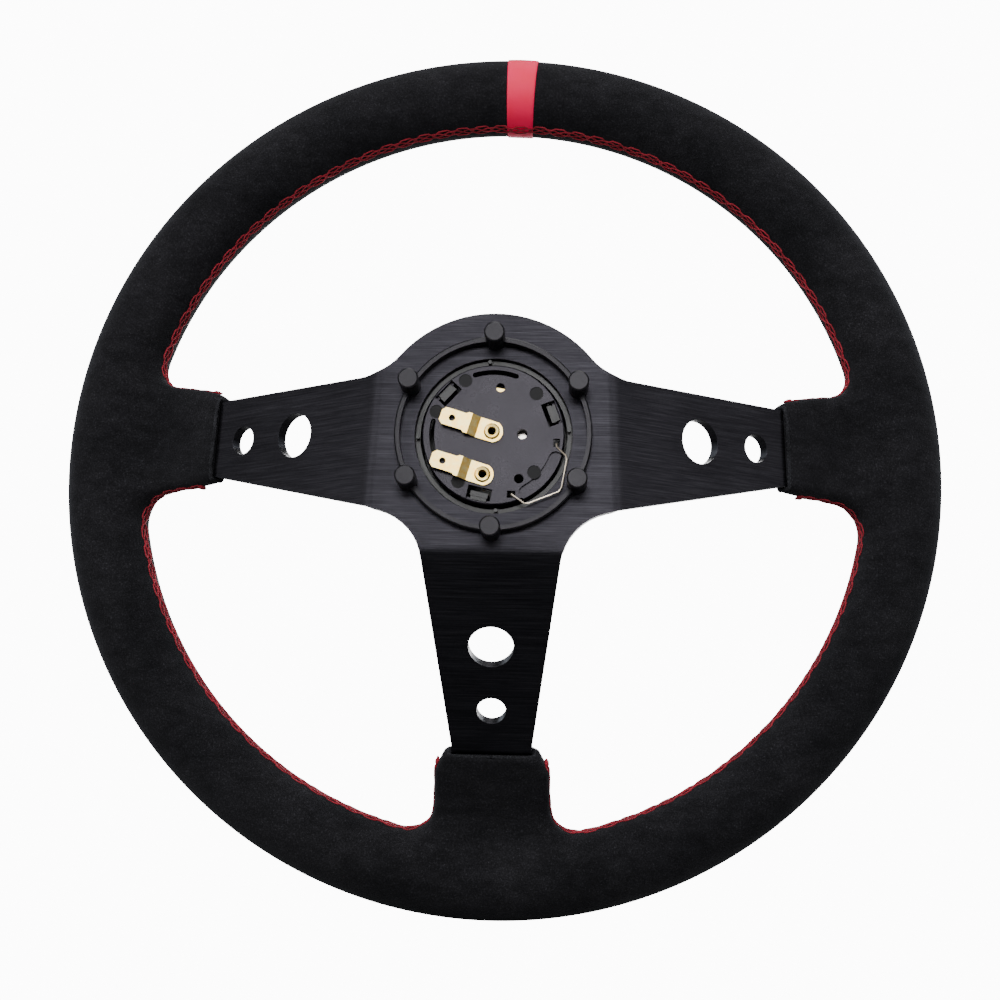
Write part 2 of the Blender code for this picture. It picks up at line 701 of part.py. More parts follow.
def make_horn_base():
    """The moulded carrier of the horn contacts: a disc with a short wall on its front side."""
    under = BASE_REAR - BASE_DISC
    wall_end = -8.4 * MM
    base = turned(
        "horn_base",
        [
            (0, BASE_REAR),
            (BASE_RADIUS - 0.4 * MM, BASE_REAR),
            (BASE_RADIUS, BASE_REAR - 0.4 * MM),
            (BASE_RADIUS, wall_end),
            (BASE_WALL_INNER, wall_end),
            (BASE_WALL_INNER, under),
            (0, under),
        ],
        PLASTIC_GREY,
    )
    low = under - 1 * MM
    high = BASE_REAR + 1 * MM
    cutters = [
        arc_slot("base_slot_top", 22.9 * MM, 1.8 * MM, 70, 108, low, high),
        arc_slot("base_slot_left", 22.2 * MM, 1.8 * MM, 168, 196, low, high),
        arc_slot("base_groove", 24.0 * MM, 5.0 * MM, -60, -20, BASE_REAR - 1.5 * MM, high),
        cylinder("base_strip_hole", (2.2 * MM, 17.3 * MM), 1.65 * MM, low, high, steps=16),
        cylinder("base_pin_hole", (10.4 * MM, 0.3 * MM), 1.85 * MM, low, high, steps=16),
        cylinder("base_dark_hole", (9.5 * MM, -16.0 * MM), 1.75 * MM, low, high, steps=16),
        box("base_wire_slot_a", (21.6 * MM, -4.2 * MM, low), (24.0 * MM, -1.2 * MM, high)),
        box("base_wire_slot_b", (5.4 * MM, -23.0 * MM, low), (8.4 * MM, -20.4 * MM, high)),
    ]
    for name, eye in TERMINAL_EYES.items():
        cutters.append(cylinder(f"base_{name}_eyelet_hole", eye, EYELET_SHANK + GAP, low, high, steps=16))
    for k, (x, y) in enumerate(EJECTOR_MARKS):
        mark = cylinder(
            f"base_mark_{k}", (x * MM, y * MM), 2.5 * MM, BASE_REAR - 0.25 * MM, high, steps=16
        )
        cutters.append(mark)
    for k, angle in enumerate(LATCH_ANGLES):
        window = latch_box(
            f"base_window_{k}", angle, 19.7 * MM, 24.8 * MM, 4.4 * MM, under - LATCH_LEDGE, high
        )
        cutters.append(window)
    for cutter in cutters:
        combine(base, cutter, "DIFFERENCE")


def make_horn_cap():
    """The push button: a hollow cap with three snap legs and three contact posts."""
    face = CAP_FRONT + 1.0 * MM
    inside = face + CAP_WALL
    cap = turned(
        "horn_cap",
        [
            (0, inside),
            (CAP_RADIUS - CAP_WALL - 1 * MM, inside),
            (CAP_RADIUS - CAP_WALL, inside + 1 * MM),
            (CAP_RADIUS - CAP_WALL, CAP_SKIRT),
            (CAP_RADIUS, CAP_SKIRT),
            (CAP_RADIUS, CAP_FRONT + 4.0 * MM),
            (CAP_RADIUS - 0.9 * MM, CAP_FRONT + 1.6 * MM),
            (CAP_RADIUS - 2.6 * MM, CAP_FRONT + 0.3 * MM),
            (CAP_RADIUS - 4.2 * MM, CAP_FRONT),
            (24.0 * MM, CAP_FRONT),
            (24.0 * MM, face),
            (0, face),
        ],
        PLASTIC_BLACK,
    )
    foot = inside - 0.5 * MM
    hook_low = BASE_REAR - BASE_DISC - LATCH_LEDGE + GAP
    disc_top = CONTACT_FACE - HORN_TRAVEL - GAP
    disc_low = disc_top - CONTACT_THICKNESS
    for k, angle in enumerate(LATCH_ANGLES):
        leg = latch_box(f"cap_leg_{k}", angle, 21.4 * MM, 23.1 * MM, 3.2 * MM, foot, hook_low + 1.6 * MM)
        hook = latch_box(
            f"cap_hook_{k}", angle, 22.4 * MM, 24.4 * MM, 2.9 * MM, hook_low, hook_low + 1.3 * MM
        )
        combine(cap, leg, "UNION")
        combine(cap, hook, "UNION")
        post = cylinder(
            f"cap_post_{k}", polar(10.2 * MM, angle + 60), 1.2 * MM, foot, disc_low - GAP, steps=10
        )
        combine(cap, post, "UNION")
    turned(
        "horn_cap_badge",
        [
            (0, face - GAP),
            (23.6 * MM, face - GAP),
            (23.6 * MM, CAP_FRONT + 0.1 * MM),
            (21.0 * MM, CAP_FRONT - 0.4 * MM),
            (0, CAP_FRONT - 0.9 * MM),
        ],
        PLASTIC_BLACK,
        steps=40,
    )
    turned(
        "contact_disc",
        [
            (8.4 * MM, disc_top),
            (11.9 * MM, disc_top),
            (11.9 * MM, disc_low),
            (8.4 * MM, disc_low),
        ],
        STEEL_BRIGHT,
        closed=True,
        steps=32,
    )
    return inside


def joggle(item, stations, rise):
    """Lifts a flat strip's far end, with a ramp between the two stations along -X."""
    shape = bmesh.new()
    shape.from_mesh(item.data)
    start, end = stations
    for station in stations:
        bmesh.ops.bisect_plane(
            shape,
            geom=shape.verts[:] + shape.edges[:] + shape.faces[:],
            plane_co=(station, 0, 0),
            plane_no=(1, 0, 0),
            dist=1e-7,
        )
    for vertex in shape.verts:
        share = (start - vertex.co.x) / (start - end)
        vertex.co.z += rise * min(max(share, 0), 1)
    bmesh.ops.triangulate(shape, faces=shape.faces)
    shape.to_mesh(item.data)
    shape.free()


def make_terminals():
    """Two spade terminals, each held to the base by an eyelet, with its tab raised clear of it."""
    seat = BASE_REAR + GAP
    top = seat + TERMINAL_THICKNESS
    tab_half = 3.15 * MM
    step_half = 3.8 * MM
    tip = -19.2 * MM
    chamfer = 1.3 * MM
    end = [polar(4.0 * MM, a) for a in range(-70, 71, 14)]
    outline = end + [
        Vector((-5.0 * MM, step_half)),
        Vector((-9.6 * MM, step_half)),
        Vector((-10.4 * MM, tab_half)),
        Vector((tip + chamfer, tab_half)),
        Vector((tip, tab_half - chamfer)),
        Vector((tip, chamfer - tab_half)),
        Vector((tip + chamfer, -tab_half)),
        Vector((-10.4 * MM, -tab_half)),
        Vector((-9.6 * MM, -step_half)),
        Vector((-5.0 * MM, -step_half)),
    ]
    strip_front = CONTACT_FACE
    for name, (x, y) in TERMINAL_EYES.items():
        loops = [outline, circle((0, 0), EYELET_SHANK + GAP, 16), circle((-14.9 * MM, 0), TAB_HOLE_RADIUS, 12)]
        terminal = plate(f"{name}_terminal", loops, seat, top, BRASS)
        joggle(terminal, (-5.2 * MM, -8.2 * MM), 2.4 * MM)
        terminal.location = (x, y, 0)
        terminal.rotation_euler = (0, 0, math.radians(TERMINAL_ANGLE))
        eyelet = turned(
            f"{name}_terminal_eyelet",
            [
                (EYELET_BORE, top + GAP + 0.5 * MM),
                (EYELET_FLANGE - 0.5 * MM, top + GAP + 0.6 * MM),
                (EYELET_FLANGE, top + GAP),
                (EYELET_SHANK, top + GAP),
                (EYELET_SHANK, strip_front - GAP),
                (EYELET_FLANGE, strip_front - GAP),
                (EYELET_FLANGE, strip_front - GAP - 0.5 * MM),
                (EYELET_BORE, strip_front - GAP - 0.5 * MM),
            ],
            BRASS,
            closed=True,
            steps=20,
        )
        eyelet.location = (x, y, 0)


def make_contacts(inside):
    """The two strips under the base's disc, and the spring that pushes the button forward."""
    low = CONTACT_FACE
    high = low + CONTACT_THICKNESS
    strips = {
        "upper_contact_strip": (TERMINAL_EYES["upper"], (2.2 * MM, 17.6 * MM), 2.6 * MM),
        "lower_contact_strip": (TERMINAL_EYES["lower"], (-4.2 * MM, -6.6 * MM), 2.4 * MM),
    }
    for name, (eye, far, half) in strips.items():
        eye = Vector(eye)
        far = Vector(far)
        forward = (far - eye).normalized()
        sideways = Vector((-forward.y, forward.x)) * half
        wide = sideways * 1.25
        back = forward * half * 1.25
        neck = forward * half * 1.6
        outline = [eye + wide - back, eye - wide - back, eye - wide + back, eye - sideways + neck]
        outline += [far - sideways, far + sideways, eye + sideways + neck, eye + wide + back]
        plate(name, [outline, circle(eye, EYELET_SHANK + GAP, 16)], low, high, BRASS)
    spring_low = inside + SPRING_WIRE + GAP
    spring_high = low - 0.5 * MM - 2 * GAP - SPRING_WIRE
    coil("return_spring", spring_low, spring_high)


def coil(name, low, high):
    """A helical compression spring with flat ends."""
    curve = bpy.data.curves.new(name, "CURVE")
    curve.dimensions = "3D"
    curve.bevel_depth = SPRING_WIRE
    curve.bevel_resolution = 1
    curve.use_fill_caps = True
    spline = curve.splines.new("POLY")
    count = SPRING_TURNS * 10
    spline.points.add(count)
    for k, point in enumerate(spline.points):
        share = k / count
        angle = TAU * SPRING_TURNS * share
        height = low + (high - low) * min(max((share - 0.06) / 0.88, 0), 1)
        point.co = (SPRING_RADIUS * math.cos(angle), SPRING_RADIUS * math.sin(angle), height, 1)
    spring = place(bpy.data.objects.new(name, curve), PARTS, STEEL_BRIGHT)
    return spring


def make_retaining_wire():
    """The bent spring wire hooked into the base, which grips the hub's bore."""
    lie = BASE_REAR + WIRE_RADIUS + GAP
    sunk = BASE_REAR - 1.6 * MM
    corners = [
        (23.0, -2.6, sunk),
        (22.7, -3.2, lie - 0.4 * MM),
        (22.9, -4.4, lie),
        (26.2, -7.4, lie),
        (26.5, -9.0, lie),
        (24.9, -19.0, lie),
        (23.9, -20.6, lie),
        (13.2, -25.0, lie),
        (11.6, -25.0, lie),
        (7.8, -22.4, lie),
        (7.1, -21.8, lie - 0.4 * MM),
        (6.9, -21.6, sunk),
    ]
    curve = bpy.data.curves.new("retaining_wire", "CURVE")
    curve.dimensions = "3D"
    curve.bevel_depth = WIRE_RADIUS
    curve.bevel_resolution = 1
    curve.use_fill_caps = True
    spline = curve.splines.new("POLY")
    spline.points.add(len(corners) - 1)
    for point, (x, y, z) in zip(spline.points, corners):
        point.co = (x * MM, y * MM, z, 1)
    place(bpy.data.objects.new("retaining_wire", curve), PARTS, STEEL_BRIGHT)


SLOTS = make_slot_cutters()
make_spoke_frame()
make_rim_core()
make_cover()
make_sleeves()
bezel_front = make_bezel()
make_screws(bezel_front)
make_bolt_cap_ring()
make_horn_base()
cap_inside = make_horn_cap()
make_terminals()
make_contacts(cap_inside)
make_retaining_wire()
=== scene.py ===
"""The looks of a deep-dish suede steering wheel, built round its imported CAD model."""

import json
import math

import bmesh
import bpy
import numpy as np
from mathutils import Matrix, Vector


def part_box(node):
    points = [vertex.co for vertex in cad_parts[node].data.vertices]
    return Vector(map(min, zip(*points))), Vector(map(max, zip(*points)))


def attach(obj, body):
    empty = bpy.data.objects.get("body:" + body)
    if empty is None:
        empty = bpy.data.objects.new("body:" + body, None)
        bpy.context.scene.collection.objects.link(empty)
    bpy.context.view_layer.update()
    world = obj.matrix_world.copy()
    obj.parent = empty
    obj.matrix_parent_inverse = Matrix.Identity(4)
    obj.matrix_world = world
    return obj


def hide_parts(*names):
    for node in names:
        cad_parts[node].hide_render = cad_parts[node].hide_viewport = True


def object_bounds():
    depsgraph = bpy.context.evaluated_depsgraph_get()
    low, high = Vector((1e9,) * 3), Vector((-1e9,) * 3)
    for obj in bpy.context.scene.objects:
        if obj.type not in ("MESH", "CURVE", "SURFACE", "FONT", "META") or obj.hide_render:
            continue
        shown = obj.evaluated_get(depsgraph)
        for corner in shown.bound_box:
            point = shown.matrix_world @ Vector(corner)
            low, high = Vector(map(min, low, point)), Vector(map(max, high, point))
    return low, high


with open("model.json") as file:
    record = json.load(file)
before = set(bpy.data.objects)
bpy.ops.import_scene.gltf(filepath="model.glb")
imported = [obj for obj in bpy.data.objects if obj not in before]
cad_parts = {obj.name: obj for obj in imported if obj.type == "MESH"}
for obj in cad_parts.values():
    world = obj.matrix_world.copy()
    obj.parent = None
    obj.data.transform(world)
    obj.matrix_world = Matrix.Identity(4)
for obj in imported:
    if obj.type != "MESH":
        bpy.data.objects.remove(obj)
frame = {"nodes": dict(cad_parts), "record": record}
CAD_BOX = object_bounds()

MM = 0.001
TAU = 2 * math.pi

# The rim, from the CAD cover. The wheel's own frame is X right, Y up, Z towards the column.
COVER_LOW, COVER_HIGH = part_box("upper_left_cover")
# What the cover's flat facets take off the round grip's half depth
FACET_LOSS = 0.15
RIM_RADIUS = CAD_BOX[1].z / MM
GRIP_HALF_DEPTH = (COVER_HIGH.y - COVER_LOW.y) / 2 / MM + FACET_LOSS
GRIP_HALF_WIDTH = 15.5
RIM_CENTRE = RIM_RADIUS - GRIP_HALF_WIDTH
RIM_DROP = -(COVER_HIGH.y + COVER_LOW.y) / 2 / MM
# Where the seam runs round the grip, in degrees: 180 faces the axis, less is nearer the column
SEAM_DIRECTION = 164.0

# The spokes, as bent in the CAD frame
SLOPE = math.radians(35.5)
BEND_AT = 44.0
PLATE = 4.0
RISE = math.radians(2.8)
SPOKES = {"right": RISE, "left": math.pi - RISE, "lower": -math.pi / 2}

# The centre stripe's middle and half width, in degrees round the wheel
STRIPE_LOW, STRIPE_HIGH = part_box("centre_stripe")
STRIPE_ANGLE = math.degrees(math.atan2(RIM_CENTRE, (STRIPE_LOW.x + STRIPE_HIGH.x) / 2 / MM))
STRIPE_HALF_WIDTH = 5.8
STRIPE_HALF = math.degrees(STRIPE_HALF_WIDTH / RIM_CENTRE)

# The sleeves: where each starts along its spoke's slope, and half widths and heights further along
SLEEVE_STARTS = {"right": 80.7, "left": 80.7, "lower": 83.4}
SLEEVE_STATIONS = [80, 84, 92, 102, 112, 140]
UPPER_SIDE = [18.0, 20.0, 22.0, 23.6, 25.0, 27.0]
LOWER_SIDE = [15.0, 15.7, 16.5, 17.0, 18.0, 21.0]
EVEN_SIDE = [16.6, 18.0, 21.6, 21.9, 22.3, 24.0]
SLEEVE_SIDES = {
    "right": (LOWER_SIDE, UPPER_SIDE),
    "left": (UPPER_SIDE, LOWER_SIDE),
    "lower": (EVEN_SIDE, EVEN_SIDE),
}
HEIGHT_STATIONS = [80, 86, 110, 140]
SLEEVE_HALF_HEIGHTS = [3.9, 4.3, 4.6, 5.0]
SLEEVE_CORNER = 3.6
SLEEVE_LIP = 0.6
SLEEVE_INSIDE_RIM = 130
FILLET = 14.0


def to_world(points):
    """From the wheel's own frame in millimetres to the scene's frame in metres."""
    points = np.asarray(points, float)
    return np.stack([points[..., 0], -points[..., 2], points[..., 1]], -1) * MM


# ---------------------------------------------------------------- materials
# Noise sizes are in cells per metre, and bump distances in metres.

EVENLY = (1, 1, 1)


def new_material(name):
    material = bpy.data.materials.new(name)
    material.use_nodes = True
    tree = material.node_tree
    shader = tree.nodes["Principled BSDF"]
    return material, tree, shader


def coordinates(tree, scale):
    """Object coordinates, in metres, stretched by scale along each axis."""
    source = tree.nodes.new("ShaderNodeTexCoord")
    mapping = tree.nodes.new("ShaderNodeMapping")
    mapping.inputs["Scale"].default_value = scale
    tree.links.new(source.outputs["Object"], mapping.inputs["Vector"])
    return mapping.outputs["Vector"]


def noise(tree, scale, size, detail=3.0, roughness=0.55):
    node = tree.nodes.new("ShaderNodeTexNoise")
    node.inputs["Scale"].default_value = size
    node.inputs["Detail"].default_value = detail
    node.inputs["Roughness"].default_value = roughness
    tree.links.new(coordinates(tree, scale), node.inputs["Vector"])
    return node.outputs["Fac"]


def grey(level):
    return (level,) * 3


def ramp(tree, value, stops):
    node = tree.nodes.new("ShaderNodeValToRGB")
    elements = node.color_ramp.elements
    while len(elements) < len(stops):
        elements.new(0.5)
    for element, (place, colour) in zip(elements, stops):
        element.position = place
        element.color = (*colour, 1)
    tree.links.new(value, node.inputs["Fac"])
    return node.outputs["Color"]


def multiply(tree, first, second, factor):
    node = tree.nodes.new("ShaderNodeMix")
    node.data_type = "RGBA"
    node.blend_type = "MULTIPLY"
    node.inputs[0].default_value = factor
    tree.links.new(first, node.inputs[6])
    tree.links.new(second, node.inputs[7])
    return node.outputs[2]


def bump(tree, height, strength, distance, onto=None):
    node = tree.nodes.new("ShaderNodeBump")
    node.inputs["Strength"].default_value = strength
    node.inputs["Distance"].default_value = distance
    tree.links.new(height, node.inputs["Height"])
    if onto is not None:
        tree.links.new(onto, node.inputs["Normal"])
    return node.outputs["Normal"]


def to_range(tree, value, low, high):
    node = tree.nodes.new("ShaderNodeMapRange")
    node.inputs["To Min"].default_value = low
    node.inputs["To Max"].default_value = high
    tree.links.new(value, node.inputs["Value"])
    return node.outputs["Result"]


def suede(name, dark, light):
    """Suede with broad patches, brush strokes down it, and a speckled nap of two sizes."""
    material, tree, shader = new_material(name)
    patches = noise(tree, EVENLY, 38, 4, 0.6)
    strokes = noise(tree, (1, 1, 2.2), 120, 3, 0.6)
    nap = noise(tree, EVENLY, 1500, 2, 0.6)
    fibre = noise(tree, EVENLY, 4200, 1, 0.5)
    base = ramp(tree, patches, [(0.30, dark), (0.72, light)])
    brushed = ramp(tree, strokes, [(0.35, grey(0.55)), (0.7, grey(1.35))])
    stroked = multiply(tree, base, brushed, 0.6)
    speckle = ramp(tree, nap, [(0.42, grey(0.6)), (0.62, grey(1.3)), (0.8, grey(4.0))])
    colour = multiply(tree, stroked, speckle, 0.75)
    tree.links.new(colour, shader.inputs["Base Color"])
    shader.inputs["Roughness"].default_value = 0.95
    shader.inputs["Specular IOR Level"].default_value = 0.10
    shader.inputs["Sheen Weight"].default_value = 0.10
    shader.inputs["Sheen Roughness"].default_value = 0.45
    shader.inputs["Sheen Tint"].default_value = (0.55, 0.56, 0.62, 1)
    soft = bump(tree, strokes, 0.25, 0.0008)
    rough = bump(tree, nap, 0.55, 0.0004, soft)
    tree.links.new(bump(tree, fibre, 0.4, 0.00015, rough), shader.inputs["Normal"])
    return material


def red_leather():
    """Smooth red leather with a fine pore grain."""
    material, tree, shader = new_material("red_leather")
    patches = noise(tree, EVENLY, 90, 3)
    cells = tree.nodes.new("ShaderNodeTexVoronoi")
    cells.feature = "DISTANCE_TO_EDGE"
    cells.inputs["Scale"].default_value = 1500
    tree.links.new(coordinates(tree, EVENLY), cells.inputs["Vector"])
    colour = ramp(tree, patches, [(0.3, (0.98, 0.004, 0.070)), (0.7, (1.0, 0.006, 0.095))])
    tree.links.new(colour, shader.inputs["Base Color"])
    tree.links.new(to_range(tree, patches, 0.45, 0.60), shader.inputs["Roughness"])
    shader.inputs["Specular IOR Level"].default_value = 0.25
    grain = bump(tree, cells.outputs["Distance"], 0.25, 0.0002)
    tree.links.new(bump(tree, patches, 0.2, 0.0006, grain), shader.inputs["Normal"])
    return material


def thread():
    """Red sewing thread: twisted strands, here and there darker."""
    material, tree, shader = new_material("red_thread")
    twist = noise(tree, EVENLY, 2600, 2)
    age = noise(tree, EVENLY, 160, 3)
    worn = ramp(tree, age, [(0.3, (0.24, 0.009, 0.020)), (0.7, (0.42, 0.020, 0.040))])
    strands = ramp(tree, twist, [(0.35, grey(0.55)), (0.65, grey(1.3))])
    colour = multiply(tree, worn, strands, 0.7)
    tree.links.new(colour, shader.inputs["Base Color"])
    shader.inputs["Roughness"].default_value = 0.7
    shader.inputs["Specular IOR Level"].default_value = 0.2
    shader.inputs["Sheen Weight"].default_value = 0.1
    tree.links.new(bump(tree, twist, 0.6, 0.0003), shader.inputs["Normal"])
    return material


def black_brushed():
    """Black anodised aluminium, brushed from side to side."""
    material, tree, shader = new_material("black_brushed_aluminium")
    lines = noise(tree, (42, 70, 2300), 1, 4, 0.7)
    fine = noise(tree, (70, 160, 7000), 1, 3, 0.6)
    broad = noise(tree, EVENLY, 26, 3)
    stops = [
        (0.28, (0.013, 0.0125, 0.015)),
        (0.50, (0.024, 0.023, 0.0275)),
        (0.75, (0.045, 0.0435, 0.051)),
    ]
    scratched = ramp(tree, lines, stops)
    patches = ramp(tree, broad, [(0.3, grey(0.85)), (0.7, grey(1.12))])
    worn = multiply(tree, scratched, patches, 1.0)
    tree.links.new(worn, shader.inputs["Base Color"])
    shader.inputs["Metallic"].default_value = 1.0
    tree.links.new(to_range(tree, fine, 0.26, 0.44), shader.inputs["Roughness"])
    shader.inputs["Anisotropic"].default_value = 0.55
    tangent = tree.nodes.new("ShaderNodeTangent")
    tangent.direction_type = "RADIAL"
    tangent.axis = "Z"
    tree.links.new(tangent.outputs["Tangent"], shader.inputs["Tangent"])
    first = bump(tree, lines, 0.14, 0.00008)
    tree.links.new(bump(tree, fine, 0.25, 0.00005, first), shader.inputs["Normal"])
    return material


def metal(name, dark, light, rough, grain=900, strength=0.15):
    """Bare or blackened metal with faint streaks in its colour and roughness."""
    material, tree, shader = new_material(name)
    streaks = noise(tree, EVENLY, grain, 3)
    tree.links.new(ramp(tree, streaks, [(0.3, dark), (0.7, light)]), shader.inputs["Base Color"])
    shader.inputs["Metallic"].default_value = 1.0
    tree.links.new(to_range(tree, streaks, *rough), shader.inputs["Roughness"])
    tree.links.new(bump(tree, streaks, strength, 0.0001), shader.inputs["Normal"])
    return material


def plastic(name, dark, light, rough, grain=1400, strength=0.25, specular=0.5, tint=(1, 1, 1)):
    """Moulded plastic: fine spark texture with faint flow patches."""
    material, tree, shader = new_material(name)
    spark = noise(tree, EVENLY, grain, 2)
    flow = noise(tree, EVENLY, 75, 4)
    tree.links.new(ramp(tree, flow, [(0.3, dark), (0.72, light)]), shader.inputs["Base Color"])
    tree.links.new(to_range(tree, flow, *rough), shader.inputs["Roughness"])
    shader.inputs["Specular IOR Level"].default_value = specular
    shader.inputs["Specular Tint"].default_value = (*tint, 1)
    tree.links.new(bump(tree, spark, strength, 0.00012), shader.inputs["Normal"])
    return material


SUEDE = suede("suede", (0.0078, 0.0077, 0.0092), (0.0160, 0.0155, 0.0178))
# A lighter copy of the suede for the folded hems: painted sheen, the light that grazes a suede edge.
SHEEN_PAINTED_SUEDE = suede("sheen_painted_suede", (0.014, 0.014, 0.016), (0.026, 0.026, 0.030))
LEATHER = red_leather()
THREAD = thread()
BRUSHED = black_brushed()
RUBBER = plastic(
    "moulded_rubber",
    (0.003, 0.003, 0.0035),
    (0.006, 0.006, 0.007),
    (0.24, 0.36),
    specular=0.29,
    tint=(0.95, 0.92, 1.0),
)
MATT_PLASTIC = plastic(
    "matt_plastic",
    (0.0060, 0.0058, 0.0066),
    (0.0095, 0.0090, 0.0105),
    (0.50, 0.60),
    specular=0.24,
)
BLACK_PLASTIC = plastic(
    "black_plastic",
    (0.006, 0.006, 0.007),
    (0.011, 0.011, 0.012),
    (0.28, 0.40),
    specular=0.5,
)
GREY_PLASTIC = plastic(
    "grey_plastic",
    (0.0065, 0.0058, 0.0082),
    (0.0105, 0.0095, 0.0130),
    (0.22, 0.34),
    specular=0.30,
    tint=(0.93, 0.88, 1.0),
)
FOAM = plastic("grip_foam", (0.05, 0.05, 0.05), (0.09, 0.09, 0.09), (0.85, 0.95), 600, 0.6)
RAW = metal("raw_aluminium", (0.55, 0.55, 0.56), (0.78, 0.78, 0.78), (0.3, 0.45))
BLACK_STEEL = metal("black_steel", (0.018, 0.018, 0.019), (0.040, 0.040, 0.042), (0.3, 0.45))
SPRING_STEEL = metal("spring_steel", (0.55, 0.50, 0.46), (0.80, 0.75, 0.70), (0.18, 0.30))
WIRE_STEEL = metal("wire_steel", (0.62, 0.52, 0.40), (0.80, 0.71, 0.58), (0.30, 0.42))
BRASS = metal("brass", (1.0, 0.60, 0.12), (1.0, 0.84, 0.38), (0.24, 0.36), 500, 0.2)


# ---------------------------------------------------------------- pieces


def add_piece(name, mesh, material, replaced=(), body="wheel"):
    item = bpy.data.objects.new(name, mesh)
    bpy.context.scene.collection.objects.link(item)
    mesh.materials.clear()
    mesh.materials.append(material)
    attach(item, body)
    if replaced:
        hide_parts(*replaced)
    return item


def mesh_from(name, points, faces, smooth=True):
    mesh = bpy.data.meshes.new(name)
    mesh.from_pydata([tuple(p) for p in points], [], [tuple(f) for f in faces])
    shape = bmesh.new()
    shape.from_mesh(mesh)
    bmesh.ops.recalc_face_normals(shape, faces=shape.faces)
    shape.to_mesh(mesh)
    shape.free()
    for face in mesh.polygons:
        face.use_smooth = smooth
    mesh.validate()
    return mesh


def smooth_least(a, b, width):
    """The lesser of two depths, rounded where they are within width of each other."""
    share = np.clip(width - np.abs(a - b), 0, None) / width
    return np.minimum(a, b) - share * share * width / 4


def slope_axes(direction):
    """A spoke's origin at its bend, and its axes along the slope, across, and out of its rear face."""
    out = np.array([math.cos(direction), math.sin(direction), 0])
    up = np.array([0, 0, 1.0])
    along = out * math.cos(SLOPE) - up * math.sin(SLOPE)
    across = np.array([-math.sin(direction), math.cos(direction), 0])
    rear = out * math.sin(SLOPE) + up * math.cos(SLOPE)
    return out * BEND_AT, along, across, rear


def rim_depth(points):
    """Signed distance to the plain grip, nearly."""
    radial = np.hypot(points[..., 0], points[..., 1]) - RIM_CENTRE
    drop = points[..., 2] - RIM_DROP
    scaled = np.hypot(radial / GRIP_HALF_WIDTH, drop / GRIP_HALF_DEPTH)
    return (scaled - 1) * GRIP_HALF_DEPTH


def sleeve_depth(points, name):
    """Signed distance to the padded suede round one spoke's end, nearly."""
    origin, along_axis, across_axis, rear_axis = slope_axes(SPOKES[name])
    local = points - origin
    along = local @ along_axis
    across = local @ across_axis
    height = np.abs(local @ rear_axis + PLATE / 2)
    clockwise, anticlockwise = SLEEVE_SIDES[name]
    half_width = np.where(
        across < 0,
        np.interp(along, SLEEVE_STATIONS, clockwise),
        np.interp(along, SLEEVE_STATIONS, anticlockwise),
    )
    half_height = np.interp(along, HEIGHT_STATIONS, SLEEVE_HALF_HEIGHTS)
    x = np.abs(across) - half_width + SLEEVE_CORNER
    y = height - half_height + SLEEVE_CORNER
    outside = np.hypot(np.clip(x, 0, None), np.clip(y, 0, None))
    side = outside + np.minimum(np.maximum(x, y), 0) - SLEEVE_CORNER
    end = SLEEVE_STARTS[name] + SLEEVE_LIP - along
    far = along - SLEEVE_INSIDE_RIM
    return np.maximum(np.maximum(side, end), far)


def suede_depth(points):
    """Signed distance to the whole suede skin: the grip with the sleeves faired into it."""
    depth = rim_depth(points)
    for name in SPOKES:
        depth = smooth_least(depth, sleeve_depth(points, name), FILLET)
    return depth


def gradient(depth, points, step=0.05):
    """How fast depth grows along each axis, by central differences."""
    slopes = []
    for k in range(3):
        shift = np.zeros(3)
        shift[k] = step
        slopes.append((depth(points + shift) - depth(points - shift)) / (2 * step))
    return np.stack(slopes, -1)


LEAST_SLOPE = 0.05


def settle(depth, points, rounds=4):
    """Moves points onto the surface where depth is zero."""
    for _ in range(rounds):
        slope = gradient(depth, points)
        length = np.maximum((slope**2).sum(-1, keepdims=True), LEAST_SLOPE)
        points = points - depth(points)[..., None] * slope / length
    return points


def surface_of(depth, low, high, step):
    """The zero surface of depth as quads: one point in each grid cell that the surface crosses."""
    axes = [np.arange(a, b + step, step) for a, b in zip(low, high)]
    grid = np.stack(np.meshgrid(*axes, indexing="ij"), -1)
    inside = depth(grid) < 0
    cells = np.zeros(tuple(n - 1 for n in inside.shape), int)
    for dx in (0, 1):
        for dy in (0, 1):
            for dz in (0, 1):
                shape = cells.shape
                cells += inside[dx : dx + shape[0], dy : dy + shape[1], dz : dz + shape[2]]
    crossed = (cells > 0) & (cells < 8)
    index = np.full(cells.shape, -1)
    index[crossed] = np.arange(crossed.sum())
    points = np.argwhere(crossed) * step + np.array([a[0] for a in axes]) + step / 2
    faces = []
    for axis in range(3):
        one, two = [k for k in range(3) if k != axis]
        change = np.diff(inside.astype(int), axis=axis)
        found = np.argwhere(change != 0)
        found = found[(found[:, one] > 0) & (found[:, two] > 0)]
        ring = []
        for da, db in ((0, 0), (-1, 0), (-1, -1), (0, -1)):
            place = found.copy()
            place[:, one] += da
            place[:, two] += db
            ring.append(index[tuple(place.T)])
        faces.append(np.stack(ring, -1))
    faces = np.concatenate(faces)
    faces = faces[(faces >= 0).all(1)]
    return settle(depth, points), faces


# The grid that finds the skin, its margin round the rim, and its top, clear above the sleeves
SKIN_GRID = 1.5
SKIN_MARGIN = 3
SKIN_TOP = -40


def build_suede():
    """One continuous suede skin in place of the CAD's four covers and three sleeves."""
    reach = RIM_RADIUS + SKIN_MARGIN
    low = (-reach, -reach, RIM_DROP - GRIP_HALF_DEPTH - SKIN_MARGIN)
    high = (reach, reach, SKIN_TOP)
    points, faces = surface_of(suede_depth, low, high, SKIN_GRID)
    mesh = mesh_from("rim_suede", to_world(points), faces)
    skin = add_piece(
        "rim_suede",
        mesh,
        SUEDE,
        [f"{a}_{b}_cover" for a in ("upper", "lower") for b in ("left", "right")]
        + [f"{name}_spoke_sleeve" for name in SPOKES],
    )


